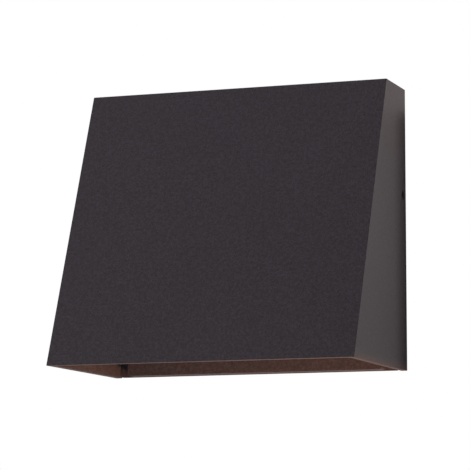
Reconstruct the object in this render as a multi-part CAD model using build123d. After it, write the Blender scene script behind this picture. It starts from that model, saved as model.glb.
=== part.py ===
from build123d import *
import math
import os

# Wedge-shaped outdoor wall light, millimetres.
# +Z is up, the wall is the plane Y = 0, the light faces -Y, and X runs to the viewer's right.
# The origin is the middle of the wall face.

# Housing shell: one die casting, open below and at the back
shell_width = 152.4
shell_height = 138.5
top_depth = 32.0
bottom_depth = 88.0
wall = 3.2
outer_edge_radius = 0.6
inner_corner_radius = 2.0

# Wall plate: a flange against the wall with a raised box in the middle
plate_gap = 0.4
plate_rise = 0.1
flange_thickness = 1.8
flange_corner_radius = 1.2
box_height = 7.2
box_wall = 2.0
box_side_inset = 6.6
box_bottom_inset = 0.2
box_corner_radius = 1.0
box_edge_radius = 0.5
hollow_corner_radius = 1.0
gasket_thickness = 1.0
gasket_width = 2.4
gasket_inset = 0.5
gasket_inner_radius = 1.0

# Crossbar: it carries the light on a round or square junction box
bar_width = 22.0
bar_thickness = 2.0
bar_corner_radius = 3.0
bar_end_wall = 7.25
box_screw_near_spacing = 69.85
box_screw_far_spacing = 88.9
box_screw_slot_width = 4.6
plate_screw_spacing = 40.0
plate_screw_end_gap = 0.2

# Wire entry in the wall plate, with its rubber grommet
entry_height = 24.0
entry_radius = 8.0
entry_bore_radius = 5.0
entry_lip = 2.0
entry_lip_thickness = 1.5

# Screws: shank diameter, head diameter, head height
M25 = (2.5, 4.5, 1.6)
M3 = (3.0, 5.6, 2.0)
M4 = (4.0, 8.0, 2.6)
thread_gap = 0.05
screw_hole_gap = 0.2
head_margin = 0.5

# Set screws through the shell's side walls, which press on the wall plate's box
set_screw_diameter = 4.0
set_screw_height = 16.0
set_screw_flange_gap = 0.4
set_screw_recess = 0.6
set_screw_socket = 2.0
set_screw_socket_depth = 2.2

# Light engine: the stack from the shell's lower edge up
light_recess = 12.0
lens_ledge = 1.5
lens_thickness = 2.5
lens_gasket_thickness = 0.8
reflector_height = 13.0
sink_thickness = 4.0
engine_side_gap = 0.6
engine_front_gap = 1.5
engine_rear_gap = 3.0
engine_corner_radius = 3.0

# Rails cast on the inside of the shell's side walls
rail_reach = 8.0
rail_height = 5.0
rail_roof = 0.8
rail_screw_end = 6.2

# Heat sink
fin_count = 2
fin_pitch = 4.0
fin_thickness = 1.6
fin_height = 9.0
fin_end_gap = 7.2
fin_rail_gap = 1.8
boss_radius = 3.0
boss_edge = 0.7
boss_screw_depth = 8.0
boss_rail_screw_pitch = 8.0

# Reflector, lens and frame
lens_boss_gap = 0.7
lens_margin = 3.2
lens_edge_gap = 0.4
lens_overlap = 4.5
lens_corner_radius = 1.2
lens_gasket_width = 2.4
reflector_wall = 1.2
reflector_flange = 3.0
reflector_end_spread = 3.5
reflector_side_spread = 8.5
reflector_board_gap = 1.5

# Board and what is on it
pad_thickness = 0.5
board_thickness = 1.6
board_corner_radius = 1.8
board_screw_inset = 3.6
board_screw_share = 0.7
chip_pitch = 6.6
chip_length = 3.5
chip_width = 2.8
chip_height = 0.7
chip_connector_gap = 3.0
connector_length = 7.0
connector_width = 6.4
connector_height = 4.4
connector_edge = 0.4

# Driver on top of the heat sink
driver_height = 21.0
driver_rear_gap = 7.0
driver_front_gap = 8.4
driver_case_wall = 1.8
driver_lid_thickness = 2.0
driver_lid_edge = 0.5
driver_corner_radius = 1.5
driver_foot_width = 10.0
driver_foot_thickness = 2.4
driver_foot_inset = 3.0
driver_lead_share = 0.6

# Leads
lead_diameter = 1.5
lead_spacing = 2.8
lead_turn_run = 10.5
lead_run_share = 0.45
lead_seat = 1.6
lead_bore_gap = 0.25
lead_grommet_wall = 0.8
lead_grommet_lip = 1.0
lead_grommet_fin_gap = 0.9

# Terminal block on the wall plate, and the plug that leaves it with the shell
block_length = 20.0
block_foot_z = -2.0
block_height = 18.0
block_depth = 12.0
block_ear_width = 8.0
block_ear_thickness = 2.5
block_edge_radius = 0.6
pole_count = 3
pole_end_wall = 0.7
pole_hole_radius = 1.7
pole_hole_depth = 6.0
clamp_screw_drop = 4.0
clamp_screw_radius = 1.8
clamp_screw_height = 0.6
plug_length = 16.0
plug_height = 8.4
plug_depth = 12.0
plug_foot = 1.0
plug_lead_run = 12.0

# Ground lead and its ring terminal
ground_run = 12.5
ground_z = 30.0
ground_lead_height = 1.25
ring_radius = 4.4
ring_thickness = 0.8
barrel_radius = 1.2
barrel_length = 5.0

# Heights and depths that follow from those sizes
shell_low = -shell_height / 2
shell_top = shell_height / 2
inner_half = shell_width / 2 - wall
front_slope = (bottom_depth - top_depth) / shell_height
front_wall_run = wall * math.hypot(1, front_slope)
flange_front = -(gasket_thickness + flange_thickness)
plate_front = flange_front - box_height
plate_half = inner_half - plate_gap
plate_low = shell_low + plate_rise
plate_top = shell_top - wall - plate_gap
box_half = plate_half - box_side_inset
box_low = plate_low + box_bottom_inset
box_top = plate_top - box_side_inset
frame_low = shell_low + light_recess
lens_low = frame_low + lens_ledge
lens_top = lens_low + lens_thickness
flange_low = lens_top + lens_gasket_thickness
sink_low = flange_low + reflector_height
sink_top = sink_low + sink_thickness
engine_half = inner_half - engine_side_gap
engine_rear = plate_front - engine_rear_gap
foot_length = M3[1] + 2 * head_margin


def inner_front(z):
    """Y of the front wall's inner face at height z."""
    return -bottom_depth + front_slope * (z - shell_low) + front_wall_run


sink_front = inner_front(sink_top) + engine_front_gap
sink_depth = engine_rear - sink_front
engine_y = (sink_front + engine_rear) / 2
frame_front = inner_front(lens_top) + engine_front_gap
rail_screw_x = inner_half - rail_reach / 2
rail_screw_spread = sink_depth - 2 * rail_screw_end
frame_screw_x = engine_half - boss_radius - boss_edge
frame_screw_spread = rail_screw_spread - 2 * boss_rail_screw_pitch
lens_length = 2 * (frame_screw_x - boss_radius - lens_boss_gap)
lens_width = sink_depth - 2 * lens_margin
mouth_length = lens_length - 2 * reflector_flange
mouth_width = lens_width - 2 * reflector_flange
board_length = mouth_length - 2 * (reflector_end_spread + reflector_board_gap)
board_width = mouth_width - 2 * (reflector_side_spread + reflector_board_gap)
board_low = sink_low - pad_thickness - board_thickness

# The driver and its leads sit between the fins
lead_bore_radius = (lead_spacing + lead_diameter) / 2 + lead_bore_gap
lead_hole_radius = lead_bore_radius + lead_grommet_wall
outer_fin_x = inner_half - rail_reach - fin_rail_gap - fin_thickness / 2
inner_fin_x = outer_fin_x - (fin_count - 1) * fin_pitch
lead_x = inner_fin_x - fin_thickness / 2 - lead_grommet_fin_gap - lead_grommet_lip - lead_hole_radius
driver_half = lead_x - lead_turn_run
chip_row = 2 * (driver_half - connector_length - chip_connector_gap)
chip_count = 1 + math.floor((chip_row - chip_length) / chip_pitch)
driver_back = engine_rear - driver_rear_gap
driver_front = inner_front(sink_top + driver_height) + driver_front_gap
driver_foot_x = driver_half + foot_length / 2
driver_foot_y = driver_back - driver_foot_inset - driver_foot_width / 2
driver_lead_z = sink_top + driver_lead_share * driver_height
block_x = -lead_x
block_front = plate_front - block_depth
block_top = block_foot_z + block_height
ground_x = block_x + block_length / 2 + ground_run


def block(x0, x1, y0, y1, z0, z1):
    """A box between two corners."""
    return Pos((x0 + x1) / 2, (y0 + y1) / 2, (z0 + z1) / 2) * Box(x1 - x0, y1 - y0, z1 - z0)


def slab(length, width, z0, z1, corner_radius, y=0.0):
    """A level plate with rounded upright corners, centred on X = 0."""
    outline = Pos(0, y, z0) * RectangleRounded(length, width, corner_radius)
    return extrude(outline, z1 - z0)


def upright(half, z0, z1, y0, y1, corner_radius):
    """A plate that stands against the wall, from depth y0 forward to y1, with rounded corners."""
    middle = Plane.XZ.offset(-y0) * Pos(0, (z0 + z1) / 2)
    outline = middle * RectangleRounded(2 * half, z1 - z0, corner_radius)
    return extrude(outline, y0 - y1)


def rod(radius, start, end):
    """A cylinder from one point to another."""
    axis = Vector(*end) - Vector(*start)
    return extrude(Plane(origin=start, z_dir=axis) * Circle(radius), axis.length)


def screw(size, length):
    """A pan-head screw with a cross recess: seat at Z = 0, head above, shank below."""
    shank, head, head_height = size
    body = extrude(Circle(head / 2), head_height)
    body = fillet(body.edges().sort_by(Axis.Z)[-1], head_height * 0.55)
    for angle in (0, 90):
        body -= Pos(0, 0, head_height) * Rot(0, 0, angle) * Box(head * 0.62, head * 0.16, head_height)
    return body + rod(shank / 2, (0, 0, 0), (0, 0, -length))


def from_below(piece):
    """Turns a screw so that its head points down."""
    return Rot(180, 0, 0) * piece


def from_front(piece):
    """Turns a screw so that its head points away from the wall."""
    return Rot(90, 0, 0) * piece


def lead(name, points):
    """A lead along straight runs joined by arcs; prints its arcs and its volume against its length."""
    points = [Vector(*point) for point in points]
    runs = [b - a for a, b in zip(points, points[1:])]
    radii = []
    for first, second in zip(runs, runs[1:]):
        half_turn = math.radians(first.get_angle(second)) / 2
        radii.append(lead_run_share * min(first.length, second.length) / math.tan(half_turn))
    path = FilletPolyline(*points, radius=radii)
    section = Plane(origin=points[0], z_dir=runs[0]) * Circle(lead_diameter / 2)
    tube = sweep(section, path=path)
    expected = math.pi * lead_diameter**2 / 4 * path.length
    print(f"{name}: radii {[round(r, 2) for r in radii]}, length {path.length:.1f}, "
          f"volume {tube.volume:.2f} of {expected:.2f}")
    return tube


def lead_socket(mouth, inward):
    """The hole that a lead's end sits in: its mouth, and the way in."""
    mouth = Vector(*mouth)
    bottom = mouth + Vector(*inward) * lead_seat
    return rod(lead_diameter / 2 + thread_gap, tuple(mouth), tuple(bottom))


def group(pieces):
    """Like pieces that share one file, each a solid of its own."""
    return Compound(children=[solid for piece in pieces for solid in piece.solids()])


def rail_screw_places():
    """X and Y of the four screws that hold the heat sink to the rails."""
    half = rail_screw_spread / 2
    return [(side * rail_screw_x, engine_y + way * half) for side in (-1, 1) for way in (-1, 1)]


def frame_screw_places():
    """X and Y of the four screws that hold the lens frame to the heat sink's bosses."""
    half = frame_screw_spread / 2
    return [(side * frame_screw_x, engine_y + way * half) for side in (-1, 1) for way in (-1, 1)]


def board_screw_places():
    """X and Y of the screws at the board's four corners."""
    x = board_length / 2 - board_screw_inset
    half = board_width / 2 - board_screw_inset
    return [(side * x, engine_y + way * half) for side in (-1, 1) for way in (-1, 1)]


def driver_screw_places():
    """X and Y of the screws in the driver's two feet."""
    return [(side * driver_foot_x, driver_foot_y) for side in (-1, 1)]


def block_screw_heights():
    """Z of the screws in the terminal block's two ears."""
    return (block_foot_z - foot_length / 2, block_top + foot_length / 2)


def pole_places():
    """X of each pole of the terminal block."""
    pitch = (block_length - 2 * pole_end_wall) / pole_count
    return [block_x + (i - (pole_count - 1) / 2) * pitch for i in range(pole_count)]


def closed_edges(solid):
    """The edges that are neither round its lowest face nor round the face nearest the wall."""
    open_faces = (solid.faces().sort_by(Axis.Z)[0], solid.faces().sort_by(Axis.Y)[-1])
    open_edges = [edge for face in open_faces for edge in face.edges()]
    return solid.edges().filter_by(lambda edge: not any(edge.is_same(other) for other in open_edges))


def housing_shell():
    """The wedge, its cavity, the two rails, and the holes for the set screws and the rail screws."""
    profile = Plane.YZ * Polyline(
        (0, shell_low), (-bottom_depth, shell_low), (-top_depth, shell_top), (0, shell_top), close=True)
    wedge = extrude(make_face(profile), shell_width / 2, both=True)
    outside = fillet(closed_edges(wedge), outer_edge_radius)

    cavity_low = shell_low - wall
    cavity_top = shell_top - wall
    cavity_profile = Plane.YZ * Polyline(
        (wall, cavity_low), (inner_front(cavity_low), cavity_low),
        (inner_front(cavity_top), cavity_top), (wall, cavity_top), close=True)
    cavity = extrude(make_face(cavity_profile), inner_half, both=True)
    shell = outside - fillet(closed_edges(cavity), inner_corner_radius)

    set_screw_y = flange_front - set_screw_flange_gap - set_screw_diameter / 2
    for side in (-1, 1):
        near, far = sorted((side * (inner_half - rail_reach), side * (inner_half + wall / 2)))
        rail = block(near, far, -bottom_depth, engine_rear, sink_top, sink_top + rail_height)
        shell += rail & wedge
        inside = (side * plate_half, set_screw_y, set_screw_height)
        outside_point = (side * (shell_width / 2 + wall), set_screw_y, set_screw_height)
        shell -= rod(set_screw_diameter / 2 + thread_gap, inside, outside_point)
    for x, y in rail_screw_places():
        shell -= rod(M3[0] / 2 + thread_gap, (x, y, sink_top), (x, y, sink_top + rail_height - rail_roof))
    return shell


def wall_plate():
    """Flange and raised box, hollow towards the wall, with its screw holes and wire entry."""
    plate = upright(plate_half, plate_low, plate_top, -gasket_thickness, flange_front, flange_corner_radius)
    box = upright(box_half, box_low, box_top, -gasket_thickness, plate_front, box_corner_radius)
    box = fillet(box.faces().sort_by(Axis.Y)[0].edges(), box_edge_radius)
    hollow = upright(box_half - box_wall, box_low + box_wall, box_top - box_wall, 0,
                     plate_front + box_wall, hollow_corner_radius)
    plate = plate + box - hollow
    holes = [(x, 0, M4[0] / 2 + screw_hole_gap) for x in (-plate_screw_spacing / 2, plate_screw_spacing / 2)]
    holes += [(block_x, z, M3[0] / 2 + thread_gap) for z in block_screw_heights()]
    holes += [(ground_x, ground_z, M4[0] / 2 + thread_gap), (0, entry_height, entry_radius)]
    for x, z, radius in holes:
        plate -= rod(radius, (x, plate_front - 1, z), (x, 0, z))
    return plate


def wall_gasket():
    """Foam ring between the flange and the wall."""
    half = plate_half - gasket_inset
    low, top = plate_low + gasket_inset, plate_top - gasket_inset
    ring = upright(half, low, top, 0, -gasket_thickness, flange_corner_radius - gasket_inset)
    inside = upright(half - gasket_width, low + gasket_width, top - gasket_width, 0,
                     -gasket_thickness, gasket_inner_radius)
    return ring - inside


def crossbar():
    """Steel strap with a slot at each end for the junction box and two tapped holes."""
    half = box_screw_far_spacing / 2 + box_screw_slot_width / 2 + bar_end_wall
    bar = upright(half, -bar_width / 2, bar_width / 2, 0, -bar_thickness, bar_corner_radius)
    slot_middle = (box_screw_near_spacing + box_screw_far_spacing) / 4
    slot_run = (box_screw_far_spacing - box_screw_near_spacing) / 2
    slot = SlotCenterToCenter(slot_run, box_screw_slot_width)
    for side in (-1, 1):
        bar -= extrude(Plane.XZ * Pos(side * slot_middle, 0) * slot, bar_thickness)
        x = side * plate_screw_spacing / 2
        bar -= rod(M4[0] / 2 + thread_gap, (x, 0, 0), (x, -bar_thickness, 0))
    return bar


def plate_screws():
    """From the wall plate's front into the crossbar."""
    one = from_front(screw(M4, -plate_front - plate_screw_end_gap))
    return [Pos(side * plate_screw_spacing / 2, plate_front, 0) * one for side in (-1, 1)]


def wire_grommet():
    """Rubber ring that grips the edge of the wire entry."""
    lip = entry_radius + entry_lip
    front = plate_front - entry_lip_thickness
    back = plate_front + box_wall + entry_lip_thickness
    ring = rod(lip, (0, front, entry_height), (0, plate_front, entry_height))
    ring += rod(lip, (0, plate_front + box_wall, entry_height), (0, back, entry_height))
    ring += rod(entry_radius - thread_gap, (0, front, entry_height), (0, back, entry_height))
    return ring - rod(entry_bore_radius, (0, front, entry_height), (0, back, entry_height))


def terminal_block():
    """Three-pole block: wires enter from above, the plug mates low on its front."""
    body = block(block_x - block_length / 2, block_x + block_length / 2, block_front, plate_front,
                 block_foot_z, block_top)
    body = fillet(body.faces().sort_by(Axis.Y)[0].edges(), block_edge_radius)
    ear_front = plate_front - block_ear_thickness
    body += block(block_x - block_ear_width / 2, block_x + block_ear_width / 2, ear_front, plate_front,
                  block_foot_z - foot_length, block_top + foot_length)
    for z in block_screw_heights():
        body -= rod(M3[0] / 2 + screw_hole_gap, (block_x, ear_front, z), (block_x, plate_front, z))
    middle = (block_front + ear_front) / 2
    z = block_top - clamp_screw_drop
    for x in pole_places():
        body -= rod(pole_hole_radius, (x, middle, block_top - pole_hole_depth), (x, middle, block_top))
        seat = (x, block_front + clamp_screw_height, z)
        body -= rod(clamp_screw_radius + thread_gap, (x, block_front, z), seat)
    return body - lead_socket(ground_start(), (-1, 0, 0))


def terminal_screws():
    """Slotted clamp screws, flush in the block's front."""
    z = block_top - clamp_screw_drop
    screws = []
    for x in pole_places():
        disc = rod(clamp_screw_radius, (x, block_front, z), (x, block_front + clamp_screw_height, z))
        slot_half = clamp_screw_radius / 6
        disc -= block(x - clamp_screw_radius, x + clamp_screw_radius, block_front,
                      block_front + clamp_screw_height / 2, z - slot_half, z + slot_half)
        screws.append(disc)
    return screws


def block_screws():
    """Through the ears into the wall plate."""
    one = from_front(screw(M3, block_ear_thickness + box_wall))
    return [Pos(block_x, plate_front - block_ear_thickness, z) * one for z in block_screw_heights()]


def barrel_end():
    """Z of the mouth of the ring terminal's barrel."""
    return ground_z - ring_radius - barrel_length


def ring_terminal():
    """Crimped ring under the ground screw, with its barrel towards the lead."""
    lead_y = plate_front - ground_lead_height
    ring_front = plate_front - ring_thickness
    mouth = (ground_x, lead_y, barrel_end())
    ring = rod(ring_radius, (ground_x, plate_front, ground_z), (ground_x, ring_front, ground_z))
    ring += rod(barrel_radius, mouth, (ground_x, lead_y, ground_z - ring_radius))
    ring += block(ground_x - barrel_radius, ground_x + barrel_radius, ring_front, plate_front,
                  barrel_end() + barrel_length / 2, ground_z - ring_radius * 0.8)
    hole_radius = M4[0] / 2 + screw_hole_gap
    ring -= rod(hole_radius, (ground_x, plate_front, ground_z), (ground_x, ring_front, ground_z))
    return ring - lead_socket(mouth, (0, 0, 1))


def ground_screw():
    """Through the ring terminal into the wall plate."""
    one = from_front(screw(M4, ring_thickness + box_wall))
    return Pos(ground_x, plate_front - ring_thickness, ground_z) * one


def ground_start():
    """Where the ground lead leaves the terminal block's side."""
    return (block_x + block_length / 2, plate_front - ground_lead_height, block_foot_z + block_height / 3)


def ground_lead():
    """From the terminal block's side along the wall plate to the ring terminal."""
    x, y, z = ground_start()
    end = barrel_end() + lead_seat
    return lead("ground_lead", [(x - lead_seat, y, z), (ground_x, y, z), (ground_x, y, end)])


def heat_sink():
    """Plate with fins above at both ends, and four bosses below for the lens frame."""
    sink = slab(2 * engine_half, sink_depth, sink_low, sink_top, engine_corner_radius, engine_y)
    fin_half = sink_depth / 2 - fin_end_gap
    for side in (-1, 1):
        for i in range(fin_count):
            x = side * (outer_fin_x - i * fin_pitch)
            sink += block(x - fin_thickness / 2, x + fin_thickness / 2, engine_y - fin_half,
                          engine_y + fin_half, sink_low, sink_top + fin_height)
    for x, y in frame_screw_places():
        sink += rod(boss_radius, (x, y, lens_top), (x, y, sink_top - sink_thickness / 2))
        sink -= rod(M3[0] / 2 + thread_gap, (x, y, lens_top), (x, y, lens_top + boss_screw_depth))
    for x, y in rail_screw_places():
        sink -= rod(M3[0] / 2 + screw_hole_gap, (x, y, sink_low), (x, y, sink_top))
    for x, y in board_screw_places():
        sink -= rod(M25[0] / 2 + thread_gap, (x, y, sink_low), (x, y, sink_top))
    for x, y in driver_screw_places():
        sink -= rod(M3[0] / 2 + thread_gap, (x, y, sink_low), (x, y, sink_top))
    return sink - rod(lead_hole_radius, (lead_x, engine_y, sink_low), (lead_x, engine_y, sink_top))


def sink_screws():
    """From below through the heat sink into the rails."""
    one = from_below(screw(M3, sink_thickness + rail_height - rail_roof - screw_hole_gap))
    return [Pos(x, y, sink_low) * one for x, y in rail_screw_places()]


def board_sheet(z0, z1):
    """The board's outline with its screw and lead holes, for the board and for its thermal pad."""
    sheet = slab(board_length, board_width, z0, z1, board_corner_radius, engine_y)
    for x, y in board_screw_places():
        sheet -= rod(M25[0] / 2 + screw_hole_gap, (x, y, z0), (x, y, z1))
    return sheet - rod(lead_hole_radius, (lead_x, engine_y, z0), (lead_x, engine_y, z1))


def led_chips():
    """A centred row of chips, as many as fit beside the connector, with chamfered lower edges."""
    chips = []
    for i in range(chip_count):
        x = (i - (chip_count - 1) / 2) * chip_pitch
        chip = block(x - chip_length / 2, x + chip_length / 2, engine_y - chip_width / 2,
                     engine_y + chip_width / 2, board_low - chip_height, board_low)
        chips.append(chamfer(chip.faces().sort_by(Axis.Z)[0].edges(), chip_height / 4))
    return chips


def board_screws():
    """From below through board and pad into the heat sink."""
    one = from_below(screw(M25, board_thickness + pad_thickness + board_screw_share * sink_thickness))
    return [Pos(x, y, board_low) * one for x, y in board_screw_places()]


def lead_pair():
    """Sideways place of each lead in a pair."""
    return (-lead_spacing / 2, lead_spacing / 2)


def board_connector():
    """Push-in connector soldered to the board, which takes the output leads in its outer end."""
    right = driver_half
    body = block(right - connector_length, right, engine_y - connector_width / 2,
                 engine_y + connector_width / 2, board_low - connector_height, board_low)
    body = chamfer(body.faces().sort_by(Axis.Z)[0].edges(), connector_edge)
    for shift in lead_pair():
        body -= lead_socket((right, engine_y + shift, board_low - connector_height / 2), (-1, 0, 0))
    return body


def output_leads():
    """From the driver's right end, down through the heat sink, and in to the board connector."""
    low = board_low - connector_height / 2
    inner = driver_half - lead_seat
    leads = []
    for shift in lead_pair():
        y = engine_y + shift
        points = [(inner, y, driver_lead_z), (lead_x, y, driver_lead_z), (lead_x, y, low), (inner, y, low)]
        leads.append(lead("output_leads", points))
    return leads


def lead_grommet():
    """Sleeve in the heat sink's lead hole, with a lip on top."""
    lip_top = sink_top + lead_grommet_lip
    ring = rod(lead_hole_radius - thread_gap, (lead_x, engine_y, sink_low), (lead_x, engine_y, lip_top))
    lip_radius = lead_hole_radius + lead_grommet_lip
    ring += rod(lip_radius, (lead_x, engine_y, sink_top), (lead_x, engine_y, lip_top))
    return ring - rod(lead_bore_radius, (lead_x, engine_y, sink_low), (lead_x, engine_y, lip_top))


def reflector():
    """White trough that widens from the board down to its flange."""
    top_length = board_length + 2 * reflector_board_gap
    top_width = board_width + 2 * reflector_board_gap

    def funnel(grow):
        upper = Pos(0, engine_y, sink_low) * Rectangle(top_length + 2 * grow, top_width + 2 * grow)
        lower = Pos(0, engine_y, flange_low) * Rectangle(mouth_length + 2 * grow, mouth_width + 2 * grow)
        return loft([upper, lower])

    flange_top = flange_low + reflector_wall
    flange = slab(lens_length, lens_width, flange_low, flange_top, lens_corner_radius, engine_y)
    return funnel(reflector_wall) + flange - funnel(0)


def lens():
    """Frosted panel."""
    return slab(lens_length, lens_width, lens_low, lens_top, lens_corner_radius, engine_y)


def lens_gasket():
    """Soft ring between the reflector's flange and the lens."""
    ring = slab(lens_length, lens_width, lens_top, flange_low, lens_corner_radius, engine_y)
    return ring - slab(lens_length - 2 * lens_gasket_width, lens_width - 2 * lens_gasket_width,
                       lens_top, flange_low, lens_corner_radius, engine_y)


def lens_frame():
    """Frame across the shell's mouth, with a ledge under the lens."""
    depth = engine_rear - frame_front
    middle = (engine_rear + frame_front) / 2
    frame = slab(2 * engine_half, depth, frame_low, lens_top, engine_corner_radius, middle)
    frame -= slab(lens_length + 2 * lens_edge_gap, lens_width + 2 * lens_edge_gap, lens_low, lens_top,
                  lens_corner_radius + lens_edge_gap, engine_y)
    frame -= slab(lens_length - 2 * lens_overlap, lens_width - 2 * lens_overlap, frame_low, lens_low,
                  engine_corner_radius, engine_y)
    for x, y in frame_screw_places():
        frame -= rod(M3[0] / 2 + screw_hole_gap, (x, y, frame_low), (x, y, lens_top))
    return frame


def frame_screws():
    """From below through the lens frame into the heat sink's bosses."""
    one = from_below(screw(M3, lens_top - frame_low + boss_screw_depth - screw_hole_gap))
    return [Pos(x, y, frame_low) * one for x, y in frame_screw_places()]


def driver_outline(z0, z1, shrink=0.0):
    """A level slice of the driver's case."""
    return slab(2 * (driver_half - shrink), driver_back - driver_front - 2 * shrink, z0, z1,
                driver_corner_radius, (driver_back + driver_front) / 2)


def driver_case():
    """Open-topped case with a foot and lead holes at each end."""
    lid_low = sink_top + driver_height - driver_lid_thickness
    foot_top = sink_top + driver_foot_thickness
    case = driver_outline(sink_top, lid_low)
    foot_end = driver_half + foot_length
    case += block(-foot_end, foot_end, driver_foot_y - driver_foot_width / 2,
                  driver_foot_y + driver_foot_width / 2, sink_top, foot_top)
    case -= driver_outline(sink_top + driver_case_wall, lid_low, driver_case_wall)
    for x, y in driver_screw_places():
        case -= rod(M3[0] / 2 + screw_hole_gap, (x, y, sink_top), (x, y, foot_top))
    for shift in lead_pair():
        case -= lead_socket((driver_half, engine_y + shift, driver_lead_z), (-1, 0, 0))
        case -= lead_socket((-driver_half, input_lead_y(), driver_lead_z + shift), (1, 0, 0))
    return case


def driver_lid():
    """Lid that sits on the case, with a rim inside it."""
    top = sink_top + driver_height
    low = top - driver_lid_thickness
    lid = driver_outline(low, top)
    lid = fillet(lid.faces().sort_by(Axis.Z)[-1].edges(), driver_lid_edge)
    rim_shrink = driver_case_wall + thread_gap
    rim = driver_outline(low - driver_lid_thickness, low, rim_shrink)
    rim -= driver_outline(low - driver_lid_thickness, low, rim_shrink + driver_case_wall / 2)
    return lid + rim


def driver_screws():
    """From above through the driver's feet into the heat sink."""
    one = screw(M3, driver_foot_thickness + sink_thickness - screw_hole_gap)
    return [Pos(x, y, sink_top + driver_foot_thickness) * one for x, y in driver_screw_places()]


def plug_middle():
    """Height of the lead plug's middle."""
    return block_foot_z + plug_foot + plug_height / 2


def input_lead_y():
    """Depth at which the input leads go down and enter the driver."""
    return block_front - plug_depth - plug_lead_run


def lead_plug():
    """Plug that mates with the lower half of the terminal block's front."""
    front = block_front - plug_depth
    body = block(block_x - plug_length / 2, block_x + plug_length / 2, front, block_front,
                 plug_middle() - plug_height / 2, plug_middle() + plug_height / 2)
    body = fillet(body.faces().sort_by(Axis.Y)[0].edges(), block_edge_radius)
    for shift in lead_pair():
        body -= lead_socket((block_x + shift, front, plug_middle()), (0, 1, 0))
    return body


def input_leads():
    """From the plug forward, down, and across into the driver's left end."""
    start = block_front - plug_depth + lead_seat
    turn = input_lead_y()
    leads = []
    for shift in lead_pair():
        x, z = block_x + shift, driver_lead_z + shift
        points = [(x, start, plug_middle()), (x, turn, plug_middle()), (x, turn, z),
                  (-driver_half + lead_seat, turn, z)]
        leads.append(lead("input_leads", points))
    return leads


def set_screw(side):
    """Socket set screw: its tip on the wall plate's box, its socket just inside the shell's side."""
    tip = side * box_half
    face = side * (shell_width / 2 - set_screw_recess)
    y, z = flange_front - set_screw_flange_gap - set_screw_diameter / 2, set_screw_height
    body = rod(set_screw_diameter / 2, (tip, y, z), (face, y, z))
    socket = RegularPolygon(set_screw_socket / 2, 6, major_radius=False)
    mouth = Plane(origin=(face, y, z), z_dir=(-side, 0, 0))
    return body - extrude(mouth * socket, set_screw_socket_depth)


nodes = {
    "wall_plate": wall_plate(),
    "wall_gasket": wall_gasket(),
    "crossbar": crossbar(),
    "plate_screws": group(plate_screws()),
    "ground_screw": ground_screw(),
    "ring_terminal": ring_terminal(),
    "ground_lead": ground_lead(),
    "wire_grommet": wire_grommet(),
    "terminal_block": terminal_block(),
    "terminal_screws": group(terminal_screws()),
    "block_screws": group(block_screws()),
    "housing_shell": housing_shell(),
    "heat_sink": heat_sink(),
    "sink_screws": group(sink_screws()),
    "thermal_pad": board_sheet(sink_low - pad_thickness, sink_low),
    "led_board": board_sheet(board_low, board_low + board_thickness),
    "led_chips": group(led_chips()),
    "board_screws": group(board_screws()),
    "board_connector": board_connector(),
    "reflector": reflector(),
    "lens_gasket": lens_gasket(),
    "lens": lens(),
    "lens_frame": lens_frame(),
    "frame_screws": group(frame_screws()),
    "driver_case": driver_case(),
    "driver_lid": driver_lid(),
    "driver_screws": group(driver_screws()),
    "lead_grommet": lead_grommet(),
    "output_leads": group(output_leads()),
    "input_leads": group(input_leads()),
    "lead_plug": lead_plug(),
    "set_screw_right": set_screw(1),
    "set_screw_left": set_screw(-1),
}

os.makedirs("parts", exist_ok=True)
for name, shape in nodes.items():
    export_step(shape, f"parts/{name}.step")
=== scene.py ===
import math
import bpy
import bmesh
from mathutils import Matrix, Vector


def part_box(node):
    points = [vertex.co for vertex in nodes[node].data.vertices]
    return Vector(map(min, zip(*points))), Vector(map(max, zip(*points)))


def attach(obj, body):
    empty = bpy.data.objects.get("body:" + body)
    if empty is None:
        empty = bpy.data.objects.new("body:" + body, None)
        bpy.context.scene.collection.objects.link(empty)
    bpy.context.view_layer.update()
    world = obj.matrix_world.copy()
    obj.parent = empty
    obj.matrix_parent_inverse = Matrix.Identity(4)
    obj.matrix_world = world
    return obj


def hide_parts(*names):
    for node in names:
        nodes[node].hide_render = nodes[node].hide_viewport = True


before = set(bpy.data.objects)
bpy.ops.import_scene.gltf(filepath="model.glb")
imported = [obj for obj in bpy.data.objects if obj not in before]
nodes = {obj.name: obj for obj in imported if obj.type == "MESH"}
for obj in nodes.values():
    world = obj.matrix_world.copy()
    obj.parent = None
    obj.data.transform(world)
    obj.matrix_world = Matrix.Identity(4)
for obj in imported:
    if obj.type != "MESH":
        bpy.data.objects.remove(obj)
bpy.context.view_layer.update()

# The camera stands low and to the right of the light, and looks slightly up at it
# through a long lens, so that the underside of the shell just shows.
camera_place = (0.42257, -1.21675, -0.16577)
yaw, pitch = 0.343525, 0.128393
focal_mm, sensor_mm, farthest = 199.5, 36, 20
forward = Vector((-math.sin(yaw) * math.cos(pitch), math.cos(yaw) * math.cos(pitch), math.sin(pitch)))
right = Vector((math.cos(yaw), math.sin(yaw), 0))
upward = right.cross(forward)
camera_data = bpy.data.cameras.new("camera")
camera_data.sensor_width = sensor_mm
camera_data.lens = focal_mm
camera_data.clip_end = farthest
camera = bpy.data.objects.new("camera", camera_data)
bpy.context.scene.collection.objects.link(camera)
turn = Matrix((right, upward, -forward)).transposed().to_4x4()
camera.matrix_world = Matrix.Translation(camera_place) @ turn
bpy.context.scene.camera = camera

# The room is a plain pale studio. The camera, gloss and glass see a white sweep all round; everything
# else is lit by dimmer air, by four softboxes and by the white paper floor, well below the light.
air_light = 0.28
floor_width, floor_z = 8, -0.62
aim = Vector((0, -0.04, 0))
bpy.context.scene.view_settings.view_transform = "Standard"


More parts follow.
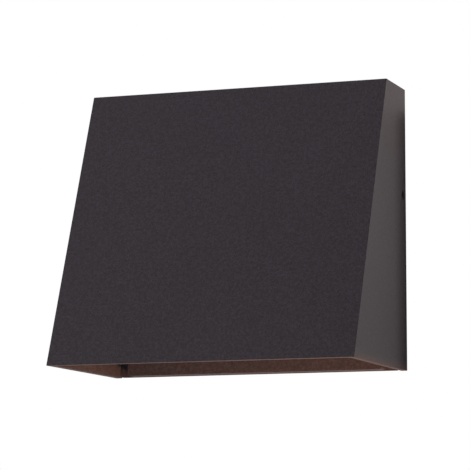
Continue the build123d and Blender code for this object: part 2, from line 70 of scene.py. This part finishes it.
def add_node(tree, kind, settings=(), links=()):
    """One shader node with its settings. A link is given as its socket: (the feeding node, its output)."""
    new = tree.nodes.new(kind)
    for name, value in dict(settings).items():
        if isinstance(name, int) or name in new.inputs:
            new.inputs[name].default_value = value
        else:
            setattr(new, name, value)
    for socket, (other, output) in dict(links).items():
        tree.links.new(other.outputs[output], new.inputs[socket])
    return new


def linear(code, share=1.0):
    """An sRGB hex colour as the linear colour that a shader takes, made lighter or darker by a share."""
    parts = [int(code[i:i + 2], 16) / 255 for i in (0, 2, 4)]
    parts = [c / 12.92 if c <= 0.04045 else ((c + 0.055) / 1.055) ** 2.4 for c in parts]
    return [min(1.0, c * share) for c in parts] + [1.0]


def start_material(name):
    """A new material, with its node tree and the shader that it starts with."""
    material = bpy.data.materials.new(name)
    material.use_nodes = True
    return material, material.node_tree, material.node_tree.nodes["Principled BSDF"]


world = bpy.data.worlds.new("studio")
bpy.context.scene.world = world
world.use_nodes = True
sky = world.node_tree
sky.nodes.clear()
ray = add_node(sky, "ShaderNodeLightPath")
seen = add_node(sky, "ShaderNodeMath", {"operation": "MAXIMUM"},
                {0: (ray, "Is Camera Ray"), 1: (ray, "Is Glossy Ray")})
seen = add_node(sky, "ShaderNodeMath", {"operation": "MAXIMUM"},
                {0: (seen, 0), 1: (ray, "Is Transmission Ray")})
sweep = add_node(sky, "ShaderNodeBackground", {"Color": linear("FFFFFF"), "Strength": 1.0})
air = add_node(sky, "ShaderNodeBackground", {"Color": linear("FFFAF6"), "Strength": air_light})
both = add_node(sky, "ShaderNodeMixShader", (), {0: (seen, 0), 1: (air, 0), 2: (sweep, 0)})
add_node(sky, "ShaderNodeOutputWorld", (), {"Surface": (both, 0)})

# Each softbox has its place, width, power and tint. The camera doesn't see any of them.
for name, place, size, power, tint in (
        ("front_softbox", (-1.6, -1.1, 0.8), 0.9, 18.0, "FFFDFF"),
        ("rear_side_softbox", (1.0, 1.10, 0.25), 0.7, 5.4, "FFF2E9"),
        ("low_softbox", (0.28, -0.16, -0.30), 0.10, 3.2, "FFBA80"),
        ("overhead_softbox", (-0.3, 0.8, 1.9), 2.0, 34.0, "FFFFFF")):
    lamp = bpy.data.lights.new(name, "AREA")
    lamp.size = size
    lamp.energy = power
    lamp.color = linear(tint)[:3]
    softbox = bpy.data.objects.new(name, lamp)
    softbox.location = place
    softbox.visible_camera = False
    softbox.rotation_euler = (aim - Vector(place)).to_track_quat("-Z", "Y").to_euler()
    bpy.context.scene.collection.objects.link(softbox)

# Matt white paper hardly shines and is nearly even, with a faint cloud from its pulp.
pulp_mm = 333
floor_paper, tree, skin = start_material("matt white paper sweep")
place = add_node(tree, "ShaderNodeTexCoord")
pulp = add_node(tree, "ShaderNodeTexNoise", {"Scale": 1000 / pulp_mm, "Detail": 2.0},
                {"Vector": (place, "Object")})
tone = add_node(tree, "ShaderNodeMix", {"data_type": "RGBA", 6: linear("F3F3F2"), 7: linear("F6F6F5")},
                {0: (pulp, "Fac")})
tree.links.new(tone.outputs[2], skin.inputs["Base Color"])
skin.inputs["Roughness"].default_value = 0.95
bpy.ops.object.select_all(action="DESELECT")
bpy.ops.mesh.primitive_plane_add(size=floor_width, location=(0, 0, floor_z))
floor = bpy.context.object
floor.name = "floor"
floor.data.materials.append(floor_paper)

# Two black flags, which the camera doesn't see, keep the lamps off the right side: one stands just
# behind the wall's plane, so that the rear lamp fades there, and one lies below the side against the
# low lamp. Felt gives back almost no light.
nap_mm = 2.5
flag_felt, tree, skin = start_material("black felt")
place = add_node(tree, "ShaderNodeTexCoord")
nap = add_node(tree, "ShaderNodeTexNoise", {"Scale": 1000 / nap_mm}, {"Vector": (place, "Object")})
tone = add_node(tree, "ShaderNodeMix", {"data_type": "RGBA", 6: linear("080808"), 7: linear("0E0E0E")},
                {0: (nap, "Fac")})
tree.links.new(tone.outputs[2], skin.inputs["Base Color"])
skin.inputs["Roughness"].default_value = 1.0
for name, place, tip, size in (("rear_flag", (0.0850, 0.012, -0.02), math.pi / 2, (0.0145, 0.16)),
                               ("low_flag", (0.1255, -0.055, -0.080), 0, (0.080, 0.18))):
    bpy.ops.mesh.primitive_plane_add(size=1, location=place, rotation=(tip, 0, 0))
    flag = bpy.context.object
    flag.name = name
    flag.scale = (*size, 1)
    flag.visible_camera = False
    flag.data.materials.append(flag_felt)

# The crossbar goes on the junction box first: a strap stamped from 2 mm steel and zinc plated, with
# a slot at each end for the box's screws and two tapped holes for the light's own.
strap_corner, strap_edge, slot_half_width = 0.003, 0.0002, 0.0023
slot_near, slot_far = 0.034925, 0.04445
tapped_x, tapped_radius, punch_length = 0.020, 0.00205, 0.01
near_enough = 0.00001


def only(piece=None):
    """Back in object mode, with this piece selected and active, or with nothing selected."""
    if bpy.context.mode != "OBJECT":
        bpy.ops.object.mode_set(mode="OBJECT")
    bpy.ops.object.select_all(action="DESELECT")
    if piece:
        bpy.context.view_layer.objects.active = piece
        piece.select_set(True)


def pick(test, kind="VERT"):
    """In edit mode, selects only the vertices, edges or faces whose every corner passes the test."""
    bpy.ops.mesh.select_all(action="DESELECT")
    bpy.ops.mesh.select_mode(type=kind)
    mesh = bmesh.from_edit_mesh(bpy.context.object.data)
    for item in {"VERT": mesh.verts, "EDGE": mesh.edges, "FACE": mesh.faces}[kind]:
        corners = [item.co] if kind == "VERT" else [v.co for v in item.verts]
        item.select_set(all(test(co) for co in corners))
    mesh.select_flush_mode()
    bmesh.update_edit_mesh(bpy.context.object.data)


def round_corners(axis, radius, segments=8):
    """In edit mode, rounds the edges that run along X, Y or Z."""
    nearly_all = 0.999
    bpy.ops.mesh.select_all(action="DESELECT")
    bpy.ops.mesh.select_mode(type="EDGE")
    mesh = bmesh.from_edit_mesh(bpy.context.object.data)
    for edge in mesh.edges:
        run = (edge.verts[1].co - edge.verts[0].co).normalized()
        edge.select_set(abs(run["XYZ".index(axis)]) > nearly_all)
    mesh.select_flush_mode()
    bmesh.update_edit_mesh(bpy.context.object.data)
    bpy.ops.mesh.bevel(offset=radius, segments=segments)


def start_block(name, low, high):
    """A block between two corners, with its place in its mesh, left in edit mode."""
    only()
    middle = [(a + b) / 2 for a, b in zip(low, high)]
    bpy.ops.mesh.primitive_cube_add(size=1, location=middle)
    bpy.context.object.name = name
    bpy.context.object.scale = [b - a for a, b in zip(low, high)]
    bpy.ops.object.transform_apply(location=True, rotation=True, scale=True)
    bpy.ops.object.mode_set(mode="EDIT")
    return bpy.context.object


def start_rod(name, radius, middle, length, axis, sides=48):
    """A rod round a middle point along X, Y or Z, with its place in its mesh, left in edit mode."""
    only()
    lean_over = {"X": (0, math.pi / 2, 0), "Y": (math.pi / 2, 0, 0), "Z": (0, 0, 0)}[axis]
    bpy.ops.mesh.primitive_cylinder_add(vertices=sides, radius=radius, depth=length, location=middle,
                                        rotation=lean_over)
    bpy.context.object.name = name
    bpy.ops.object.transform_apply(location=True, rotation=True, scale=True)
    bpy.ops.object.mode_set(mode="EDIT")
    return bpy.context.object


def join_shape(piece, other, operation):
    """Adds another piece's shape to this one or cuts it out, and uses it up."""
    only(piece)
    change = piece.modifiers.new("shape", "BOOLEAN")
    change.operation = operation
    change.solver = "EXACT"
    change.object = other
    bpy.ops.object.modifier_apply(modifier=change.name)
    bpy.data.objects.remove(other)


def soften(piece, width, segments=2):
    """Rounds the sharp edges, as casting, stamping or coating does, and smooths the shading over them."""
    sharp, smooth, speck = math.radians(35), math.radians(40), 0.000002
    only(piece)
    change = piece.modifiers.new("rounding", "BEVEL")
    change.width = width
    change.segments = segments
    change.limit_method = "ANGLE"
    change.angle_limit = sharp
    bpy.ops.object.modifier_apply(modifier=change.name)
    bpy.ops.object.mode_set(mode="EDIT")
    bpy.ops.mesh.select_all(action="SELECT")
    bpy.ops.mesh.remove_doubles(threshold=speck)
    bpy.ops.mesh.dissolve_degenerate(threshold=speck)
    bpy.ops.object.mode_set(mode="OBJECT")
    bpy.ops.object.shade_smooth_by_angle(angle=smooth)
    change = piece.modifiers.new("flat faces stay flat", "WEIGHTED_NORMAL")
    change.weight = 100
    change.keep_sharp = True
    bpy.ops.object.modifier_apply(modifier=change.name)


def hand_in(piece, material, node, body):
    """Gives a modelled piece its material, and puts it in its node's place on its body."""
    only()
    piece.data.materials.clear()
    piece.data.materials.append(material)
    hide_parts(node)
    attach(piece, body)


low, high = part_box("crossbar")
strap_middle = (low.y + high.y) / 2
crossbar = start_block("crossbar_strap", low, high)
round_corners("Y", strap_corner)
for side in (-1, 1):
    slot = start_rod("slot_punch", slot_half_width, (side * slot_near, strap_middle, 0), punch_length,
                     "Y", 32)
    pick(lambda co: side * (co.x - side * slot_near) > near_enough)
    bpy.ops.transform.translate(value=(side * (slot_far - slot_near), 0, 0))
    join_shape(crossbar, slot, "DIFFERENCE")
    tap = start_rod("tap", tapped_radius, (side * tapped_x, strap_middle, 0), punch_length, "Y", 32)
    join_shape(crossbar, tap, "DIFFERENCE")
soften(crossbar, strap_edge)


def zinc_plated(name, code="B9BBBB", cloud="A4A7A8", smear_mm=4.0):
    """Bright zinc plate on mild steel: a soft grey shine with cloudy patches and fine rolling marks."""
    mark_mm = (16.7, 1.1, 0.4)
    material, tree, skin = start_material(name)
    skin.inputs["Metallic"].default_value = 1.0
    place = add_node(tree, "ShaderNodeTexCoord")
    cloudy = add_node(tree, "ShaderNodeTexNoise", {"Scale": 1000 / smear_mm, "Detail": 4.0},
                      {"Vector": (place, "Object")})
    stretch = add_node(tree, "ShaderNodeMapping", {"Scale": [1000 / size for size in mark_mm]},
                       {"Vector": (place, "Object")})
    marks = add_node(tree, "ShaderNodeTexNoise", {"Scale": 1.0, "Detail": 2.0}, {"Vector": (stretch, 0)})
    tone = add_node(tree, "ShaderNodeMix", {"data_type": "RGBA", 6: linear(code), 7: linear(cloud)},
                    {0: (cloudy, "Fac")})
    shine = add_node(tree, "ShaderNodeMapRange", {"To Min": 0.28, "To Max": 0.50},
                     {"Value": (cloudy, "Fac")})
    bump = add_node(tree, "ShaderNodeBump", {"Strength": 0.15, "Distance": 0.00003},
                    {"Height": (marks, "Fac")})
    tree.links.new(tone.outputs[2], skin.inputs["Base Color"])
    tree.links.new(shine.outputs[0], skin.inputs["Roughness"])
    tree.links.new(bump.outputs[0], skin.inputs["Normal"])
    return material


strap_zinc = zinc_plated("zinc-plated stamped steel")
hand_in(crossbar, strap_zinc, "crossbar", "wall_side")

# The wall gasket is a ring die-cut from closed-cell rubber foam and stuck to the back of the wall
# plate's flange. It keeps rain out of the junction box, and its cut edges are soft.
gasket_width, gasket_corner, opening_corner, gasket_edge = 0.0024, 0.0007, 0.001, 0.0003
cell_mm = 0.6
cutter_past = 0.002
low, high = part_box("wall_gasket")
wall_gasket = start_block("foam_gasket", low, high)
round_corners("Y", gasket_corner, 4)
opening = start_block("gasket_opening", (low.x + gasket_width, low.y - cutter_past, low.z + gasket_width),
                      (high.x - gasket_width, high.y + cutter_past, high.z - gasket_width))
round_corners("Y", opening_corner, 4)
join_shape(wall_gasket, opening, "DIFFERENCE")
soften(wall_gasket, gasket_edge, 3)

# Closed-cell foam looks dull and black, with open cells of about 0.3 mm on its cut faces; they are
# drawn 0.6 mm wide so that they show.
foam, tree, skin = start_material("closed-cell rubber foam")
skin.inputs["Specular IOR Level"].default_value = 0.2
place = add_node(tree, "ShaderNodeTexCoord")
cells = add_node(tree, "ShaderNodeTexVoronoi", {"Scale": 1000 / cell_mm}, {"Vector": (place, "Object")})
tone = add_node(tree, "ShaderNodeMix", {"data_type": "RGBA", 6: linear("141414"), 7: linear("262627")},
                {0: (cells, "Distance")})
gloss = add_node(tree, "ShaderNodeMapRange", {"To Min": 0.85, "To Max": 1.0},
                 {"Value": (cells, "Distance")})
bump = add_node(tree, "ShaderNodeBump", {"Strength": 0.6, "Distance": 0.0001},
                {"Height": (cells, "Distance")})
tree.links.new(tone.outputs[2], skin.inputs["Base Color"])
tree.links.new(gloss.outputs[0], skin.inputs["Roughness"])
tree.links.new(bump.outputs[0], skin.inputs["Normal"])
hand_in(wall_gasket, foam, "wall_gasket", "wall_side")

# The wall plate is an aluminium die casting: a flat flange along the wall, with a hollow box raised
# from its middle. It is powder coated with the shell, and two screws hold it to the crossbar.
flange_thickness, flange_corner, plate_edge = 0.0018, 0.0012, 0.00035
box_half, box_wall, box_corner = 0.066, 0.002, 0.001
box_low, box_top, hollow_front, box_sunk = -0.06895, 0.05905, -0.008, 0.0003
entry_z, entry_radius = 0.024, 0.008
low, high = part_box("wall_plate")
wall_plate = start_block("wall_plate_casting", (low.x, high.y - flange_thickness, low.z), high)
round_corners("Y", flange_corner, 5)
raised = start_block("raised_box", (-box_half, low.y, box_low), (box_half, high.y - box_sunk, box_top))
round_corners("Y", box_corner, 5)
join_shape(wall_plate, raised, "UNION")
hollow = start_block("box_hollow", (-box_half + box_wall, hollow_front, box_low + box_wall),
                     (box_half - box_wall, cutter_past, box_top - box_wall))
round_corners("Y", box_corner, 5)
join_shape(wall_plate, hollow, "DIFFERENCE")

# Its front has holes for the two plate screws, the terminal block's two screws, the ground screw and
# the supply wires, each given as its X, its Z and its radius.
plate_holes = [(side * tapped_x, 0, 0.0022) for side in (-1, 1)]
plate_holes += [(-0.0525, z, 0.00155) for z in (-0.0053, 0.0193)]
plate_holes += [(-0.030, 0.030, 0.00205), (0, entry_z, entry_radius)]
for x, z, radius in plate_holes:
    drill = start_rod("drill", radius, (x, (low.y + hollow_front) / 2, z), 0.01, "Y", 40)
    join_shape(wall_plate, drill, "DIFFERENCE")
soften(wall_plate, plate_edge)


def powder_coat(name, code, grit_mm, cloud_mm, dark=0.74, light=1.28):
    """Polyester powder baked on to cast aluminium: a matt skin with a fine grit, so that the colour
    sparkles a little darker and lighter, edges look soft and the gloss is broken up."""
    mottle_mm = grit_mm * 2.5
    material, tree, skin = start_material(name)
    skin.inputs["IOR"].default_value = 1.5
    skin.inputs["Specular IOR Level"].default_value = 0.10
    place = add_node(tree, "ShaderNodeTexCoord")
    grit = add_node(tree, "ShaderNodeTexNoise", {"Scale": 1000 / grit_mm, "Detail": 2.0, "Roughness": 0.6},
                    {"Vector": (place, "Object")})
    mottle = add_node(tree, "ShaderNodeTexNoise", {"Scale": 1000 / mottle_mm, "Detail": 1.0},
                      {"Vector": (place, "Object")})
    cloud = add_node(tree, "ShaderNodeTexNoise", {"Scale": 1000 / cloud_mm, "Detail": 2.0},
                     {"Vector": (place, "Object")})
    tone = add_node(tree, "ShaderNodeValToRGB", (), {"Fac": (grit, "Fac")})
    for stop, position, share in zip(tone.color_ramp.elements, (0.32, 0.68), (dark, light)):
        stop.position = position
        stop.color = linear(code, share)
    spots = add_node(tree, "ShaderNodeMapRange",
                     {"From Min": 0.35, "From Max": 0.65, "To Min": 0.86, "To Max": 1.14},
                     {"Value": (mottle, "Fac")})
    patch = add_node(tree, "ShaderNodeMapRange", {"To Min": 0.94, "To Max": 1.06},
                     {"Value": (cloud, "Fac")})
    patch = add_node(tree, "ShaderNodeMath", {"operation": "MULTIPLY"},
                     {0: (patch, "Result"), 1: (spots, "Result")})
    coat = add_node(tree, "ShaderNodeVectorMath", {"operation": "SCALE"},
                    {0: (tone, "Color"), "Scale": (patch, 0)})
    gloss = add_node(tree, "ShaderNodeMapRange", {"To Min": 0.50, "To Max": 0.66}, {"Value": (grit, "Fac")})
    bump = add_node(tree, "ShaderNodeBump", {"Strength": 0.45, "Distance": 0.0001},
                    {"Height": (grit, "Fac")})
    tree.links.new(coat.outputs[0], skin.inputs["Base Color"])
    tree.links.new(gloss.outputs[0], skin.inputs["Roughness"])
    tree.links.new(bump.outputs[0], skin.inputs["Normal"])
    return material


# The real grit is about 0.2 mm across. It is drawn 0.6 mm wide so that it shows.
bronze_coat = powder_coat("dark bronze powder coat on cast aluminium", "383339", grit_mm=0.6, cloud_mm=36)
hand_in(wall_plate, bronze_coat, "wall_plate", "wall_side")

# Two pan-head machine screws of zinc-plated steel go through the wall plate's front into the crossbar.
# They are cut from bar, so they are brighter than the strap.
screw_zinc = zinc_plated("zinc-plated machined steel", "C4C5C3", "AEB0B1", 1.2)


def dress(name, material):
    """Gives a piece that is carried over from its solid the finish of the real one."""
    nodes[name].data.materials.clear()
    nodes[name].data.materials.append(material)


dress("plate_screws", screw_zinc)

# The wire grommet is a moulded rubber ring that snaps into the wall plate's wire entry, a lip on each
# side, so that the supply wires don't chafe on the casting.
lip_radius, neck_radius, bore_radius, grommet_edge = 0.010, 0.00795, 0.005, 0.0005
low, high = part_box("wire_grommet")
middle = (0, (low.y + high.y) / 2, entry_z)
wire_grommet = start_rod("rubber_grommet", lip_radius, middle, high.y - low.y, "Y", 64)
groove = start_rod("groove", lip_radius + 0.001, middle, box_wall, "Y", 64)
neck = start_rod("neck", neck_radius, middle, 0.01, "Y", 64)
join_shape(groove, neck, "DIFFERENCE")
join_shape(wire_grommet, groove, "DIFFERENCE")
bore = start_rod("bore", bore_radius, middle, 0.02, "Y", 64)
join_shape(wire_grommet, bore, "DIFFERENCE")
soften(wire_grommet, grommet_edge, 3)


def moulded(name, code, gloss, patch_mm, depth=0.00002, spread=0.12, ior=1.5, metallic=0.0):
    """A moulded, cast or plated skin: patches that differ a little in tone and gloss, over a grain that
    is drawn 0.4 mm wide so that it shows, and of the given depth."""
    grain_mm = 0.4
    material, tree, skin = start_material(name)
    skin.inputs["IOR"].default_value = ior
    skin.inputs["Metallic"].default_value = metallic
    place = add_node(tree, "ShaderNodeTexCoord")
    patch = add_node(tree, "ShaderNodeTexNoise", {"Scale": 1000 / patch_mm, "Detail": 3.0},
                     {"Vector": (place, "Object")})
    grain = add_node(tree, "ShaderNodeTexNoise", {"Scale": 1000 / grain_mm, "Detail": 2.0},
                     {"Vector": (place, "Object")})
    tone = add_node(tree, "ShaderNodeMix", {"data_type": "RGBA", 6: linear(code, 1 - spread),
                                            7: linear(code, 1 + spread)}, {0: (patch, "Fac")})
    shine = add_node(tree, "ShaderNodeMapRange", {"To Min": gloss * 0.85, "To Max": gloss * 1.15},
                     {"Value": (patch, "Fac")})
    bump = add_node(tree, "ShaderNodeBump", {"Strength": 0.3, "Distance": depth},
                    {"Height": (grain, "Fac")})
    tree.links.new(tone.outputs[2], skin.inputs["Base Color"])
    tree.links.new(shine.outputs[0], skin.inputs["Roughness"])
    tree.links.new(bump.outputs[0], skin.inputs["Normal"])
    return material


# Moulded rubber is nearly black and shines only a little, unevenly.
rubber = moulded("moulded black rubber", "1B1B1C", 0.60, 3.0)
hand_in(wire_grommet, rubber, "wire_grommet", "wall_side")

# The terminal block is moulded from natural nylon, a waxy off-white, with three wire entries on top.
# Its two ears are screwed to the wall plate.
dress("terminal_block", moulded("natural nylon", "E2DDCE", 0.42, 6.0, 0.00001, 0.04, 1.53))
dress("terminal_screws", screw_zinc)
dress("block_screws", screw_zinc)

# The ground lead runs from the block to a ring terminal crimped on it, under a screw that is plated
# green so that nobody takes it for another. The jacket is smooth with a low shine, the terminal the
# warm pale grey of tin, and the screw a metallic green.
dress("ground_lead", moulded("green vinyl wire jacket", "2A7A40", 0.38, 2.0, 0.00001))
dress("ring_terminal", moulded("tin-plated copper", "C9C4BA", 0.32, 1.0, 0.00001, 0.08, metallic=1.0))
dress("ground_screw", moulded("green-dyed zinc plate", "2F7B46", 0.35, 1.2, 0.00001, metallic=0.8))

# The housing shell is the light's whole outside: one aluminium die casting in the form of a wedge,
# open below and at the back, with a rail on each side inside. It is powder coated dark bronze,
# a coating with a fine grit that softens every edge, and held on by a set screw in each side.
shell_width, shell_height = 0.1524, 0.1385
shell_low, shell_top = -0.06925, 0.06925
top_depth, bottom_depth, shell_wall = 0.032, 0.088, 0.0032
inner_corner, shell_edge, hollow_past = 0.002, 0.0006, 0.01
rail_inner, rail_outer = 0.065, 0.0745
rail_front, rail_back = -0.0715, -0.013
rail_low, rail_top = -0.03545, -0.03045
set_screw_y, set_screw_z, set_screw_radius, drill_length = -0.0052, 0.016, 0.00205, 0.2
lean = (bottom_depth - top_depth) / shell_height
lean_wall = shell_wall * math.hypot(1, lean)


def wedge(name, half, low, top, front, back):
    """A wedge whose front leans back as it rises; front is its Y at the height of the shell's foot."""
    piece = start_block(name, (-half, front + lean * (low - shell_low), low), (half, back, top))
    pick(lambda co: co.z > 0 and co.y < back - near_enough)
    bpy.ops.transform.translate(value=(0, lean * (top - low), 0))
    return piece


shell = wedge("shell_casting", shell_width / 2, shell_low, shell_top, -bottom_depth, 0)
hollow = wedge("shell_hollow", shell_width / 2 - shell_wall, shell_low - hollow_past,
               shell_top - shell_wall, -bottom_depth + lean_wall, hollow_past)
pick(lambda co: co.y < 0 or co.z > 0, "EDGE")
bpy.ops.mesh.bevel(offset=inner_corner, segments=4)
join_shape(shell, hollow, "DIFFERENCE")
for side in (-1, 1):
    near, far = sorted((side * rail_inner, side * rail_outer))
    rail = start_block("rail", (near, rail_front, rail_low), (far, rail_back, rail_top))
    join_shape(shell, rail, "UNION")
drill = start_rod("set_screw_drill", set_screw_radius, (0, set_screw_y, set_screw_z), drill_length,
                  "X", 40)
join_shape(shell, drill, "DIFFERENCE")
soften(shell, shell_edge, 3)
hand_in(shell, bronze_coat, "housing_shell", "shell")

# The heat sink is a bare die casting across the shell, with two fins above each end and four bosses
# below. Four zinc-plated screws hold it up to the shell's rails. Bare cast aluminium is a pale satin
# grey, a little cloudy.
cast_aluminium = moulded("bare die-cast aluminium", "B4B5B6", 0.50, 7.0, 0.00004, 0.10, metallic=1.0)
dress("heat_sink", cast_aluminium)
dress("sink_screws", screw_zinc)

# The driver is a white moulded case with its lid, screwed down on the heat sink between the fins.
# Moulded polycarbonate has an even satin skin.
driver_white = moulded("white moulded polycarbonate", "DADAD7", 0.45, 9.0, spread=0.03, ior=1.58)
dress("driver_case", driver_white)
dress("driver_lid", driver_white)
dress("driver_screws", screw_zinc)

# Leads in vinyl jackets run from the plug to the driver, and from the driver down through a rubber
# grommet in the heat sink to the board. Vinyl has a smooth skin with a low shine, and the plug's
# nylon is a little glossier than the terminal block's.
dress("input_leads", moulded("black vinyl wire jacket", "1B1B1C", 0.38, 2.0, 0.00001))
dress("output_leads", moulded("red vinyl wire jacket", "A3211D", 0.38, 2.0, 0.00001))
dress("lead_grommet", rubber)
dress("lead_plug", moulded("natural nylon, glossy", "E6E2D6", 0.35, 5.0, 0.00001, 0.04, 1.53))

# The thermal pad is silicone, cut from sheet and squeezed between the heat sink and the board.
# It is bluish grey and quite dull.
dress("thermal_pad", moulded("grey thermal silicone", "7C8088", 0.75, 2.0))

# The board is aluminium-cored. Copper areas show as faint steps under its white solder mask, in two rows
# whose gaps meet under the chips. Its push-in connector is moulded from white nylon, with a satin skin.
chip_pitch_mm, gap_share, row_share = 6.6, 0.03, 1.8
area_shift_mm = (3.3, 41.2, 0.0)
speck_mm = 1.1
mask, tree, skin = start_material("white solder mask over copper")
place = add_node(tree, "ShaderNodeTexCoord")
shift = add_node(tree, "ShaderNodeMapping", {"Location": [move / 1000 for move in area_shift_mm]},
                 {"Vector": (place, "Object")})
areas = add_node(tree, "ShaderNodeTexBrick",
                 {"Scale": 1000 / chip_pitch_mm, "Brick Width": 1.0, "Row Height": row_share,
                  "Mortar Size": gap_share, "offset": 0.0, "Color1": linear("EEF0F0"),
                  "Color2": linear("ECEEEE"), "Mortar": linear("D9DDDD")}, {"Vector": (shift, 0)})
specks = add_node(tree, "ShaderNodeTexNoise", {"Scale": 1000 / speck_mm, "Detail": 2.0},
                  {"Vector": (place, "Object")})
gloss = add_node(tree, "ShaderNodeMapRange", {"To Min": 0.28, "To Max": 0.40}, {"Value": (specks, "Fac")})
bump = add_node(tree, "ShaderNodeBump", {"Strength": 0.4, "Distance": 0.00004, "invert": True},
                {"Height": (areas, "Fac")})
tree.links.new(areas.outputs["Color"], skin.inputs["Base Color"])
tree.links.new(gloss.outputs[0], skin.inputs["Roughness"])
tree.links.new(bump.outputs[0], skin.inputs["Normal"])
dress("led_board", mask)
dress("board_screws", screw_zinc)
dress("board_connector", moulded("white nylon", "E9E7E0", 0.40, 4.0, 0.00001, 0.03, 1.53))

# Ten chips are soldered to the board: each is a white ceramic body, with yellow phosphor silicone in
# a window that is sunk a little below its rim. One is modelled and copied.
chip_count, chip_length, chip_corner, chip_edge = 10, 0.0035, 0.00015, 0.00003
window_rim, window_depth = 0.0004, 0.00015
low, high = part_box("led_chips")
window_left = low.x + window_rim - near_enough
window_right = low.x + chip_length - window_rim + near_enough
chip = start_block("led_chip_1", low, (low.x + chip_length, high.y, high.z))
pick(lambda co: co.z < low.z + near_enough, "FACE")
bpy.ops.mesh.inset(thickness=window_rim)
bpy.ops.mesh.extrude_region_move(TRANSFORM_OT_translate={"value": (0, 0, window_depth)})
round_corners("Z", chip_corner, 3)
bpy.ops.object.mode_set(mode="OBJECT")
chip.data.materials.append(moulded("white ceramic chip body", "F0EFEA", 0.35, 1.0, 0.000005, 0.02, 1.6))
chip.data.materials.append(moulded("yellow phosphor silicone", "E8C23C", 0.30, 0.8, 0.00001, 0.08, 1.41))
for face in chip.data.polygons:
    flat = abs(face.normal.z) > 0.9
    inside = all(window_left < chip.data.vertices[v].co.x < window_right for v in face.vertices)
    face.material_index = 1 if flat and inside and face.center.z < low.z + 2 * window_depth else 0
soften(chip, chip_edge)
for i in range(chip_count):
    piece = chip
    if i:
        piece = chip.copy()
        piece.data = chip.data.copy()
        piece.name = f"led_chip_{i + 1}"
        bpy.context.scene.collection.objects.link(piece)
        for corner in piece.data.vertices:
            corner.co.x += i * chip_pitch_mm / 1000
    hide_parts("led_chips")
    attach(piece, "shell")

# The reflector is a trough of glossy white polycarbonate that widens from the board to the lens,
# with a soft, dull silicone gasket under its flange.
dress("reflector",
      moulded("glossy white reflector polycarbonate", "F1F1EE", 0.25, 12.0, 0.00001, 0.02, 1.58))
dress("lens_gasket", moulded("grey silicone", "8A8A88", 0.50, 3.0))

# The lens is a panel cut from frosted polycarbonate: it lets light through evenly, and the board
# behind it shows only as a soft shape. Its cut edges are broken.
lens_corner, lens_edge, frost_mm = 0.0012, 0.00025, 0.5
lens_low, lens_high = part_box("lens")
lens = start_block("frosted_lens", lens_low, lens_high)
round_corners("Z", lens_corner, 5)
soften(lens, lens_edge)

# The frost is finer than 0.5 mm. It is drawn that wide so that it shows.
frosted, tree, skin = start_material("frosted polycarbonate")
skin.inputs["IOR"].default_value = 1.58
skin.inputs["Transmission Weight"].default_value = 0.55
place = add_node(tree, "ShaderNodeTexCoord")
frost = add_node(tree, "ShaderNodeTexNoise", {"Scale": 1000 / frost_mm, "Detail": 2.0},
                 {"Vector": (place, "Object")})
tone = add_node(tree, "ShaderNodeMix", {"data_type": "RGBA", 6: linear("E9EAE6"), 7: linear("F6F6F2")},
                {0: (frost, "Fac")})
gloss = add_node(tree, "ShaderNodeMapRange", {"To Min": 0.42, "To Max": 0.60}, {"Value": (frost, "Fac")})
bump = add_node(tree, "ShaderNodeBump", {"Strength": 0.3, "Distance": 0.00005},
                {"Height": (frost, "Fac")})
tree.links.new(tone.outputs[2], skin.inputs["Base Color"])
tree.links.new(gloss.outputs[0], skin.inputs["Roughness"])
tree.links.new(bump.outputs[0], skin.inputs["Normal"])
hand_in(lens, frosted, "lens", "shell")

# The lens frame closes the shell's mouth: a die-cast frame, powder coated like the shell, with a ledge
# under the lens. Four black screws go up through it into the heat sink's bosses.
ledge, lens_overlap, lens_gap = 0.0015, 0.0045, 0.0004
frame_corner, seat_corner, frame_edge = 0.003, 0.0016, 0.0004
head_radius, clearance_radius = 0.0028, 0.0017
low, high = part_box("lens_frame")
lens_frame = start_block("lens_frame_casting", low, high)
round_corners("Z", frame_corner)
seat = start_block("lens_seat", (lens_low.x - lens_gap, lens_low.y - lens_gap, low.z + ledge),
                   (lens_high.x + lens_gap, lens_high.y + lens_gap, high.z + cutter_past))
round_corners("Z", seat_corner, 5)
join_shape(lens_frame, seat, "DIFFERENCE")
window = start_block("window", (lens_low.x + lens_overlap, lens_low.y + lens_overlap, low.z - cutter_past),
                     (lens_high.x - lens_overlap, lens_high.y - lens_overlap, high.z + cutter_past))
round_corners("Z", frame_corner)
join_shape(lens_frame, window, "DIFFERENCE")
screws_low, screws_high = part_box("frame_screws")
for x in (screws_low.x + head_radius, screws_high.x - head_radius):
    for y in (screws_low.y + head_radius, screws_high.y - head_radius):
        drill = start_rod("drill", clearance_radius, (x, y, low.z), 0.02, "Z", 32)
        join_shape(lens_frame, drill, "DIFFERENCE")
soften(lens_frame, frame_edge, 3)
hand_in(lens_frame, bronze_coat, "lens_frame", "shell")

# Black oxide leaves the steel nearly black, with a low uneven shine.
black_oxide = moulded("black-oxide steel", "1A191A", 0.38, 1.5, 0.00001, 0.15, metallic=0.6)
dress("frame_screws", black_oxide)

# The set screws go in last, one through each side of the shell: black-oxide steel with a hex socket,
# their ends just below the surface.
dress("set_screw_right", black_oxide)
dress("set_screw_left", black_oxide)

only()
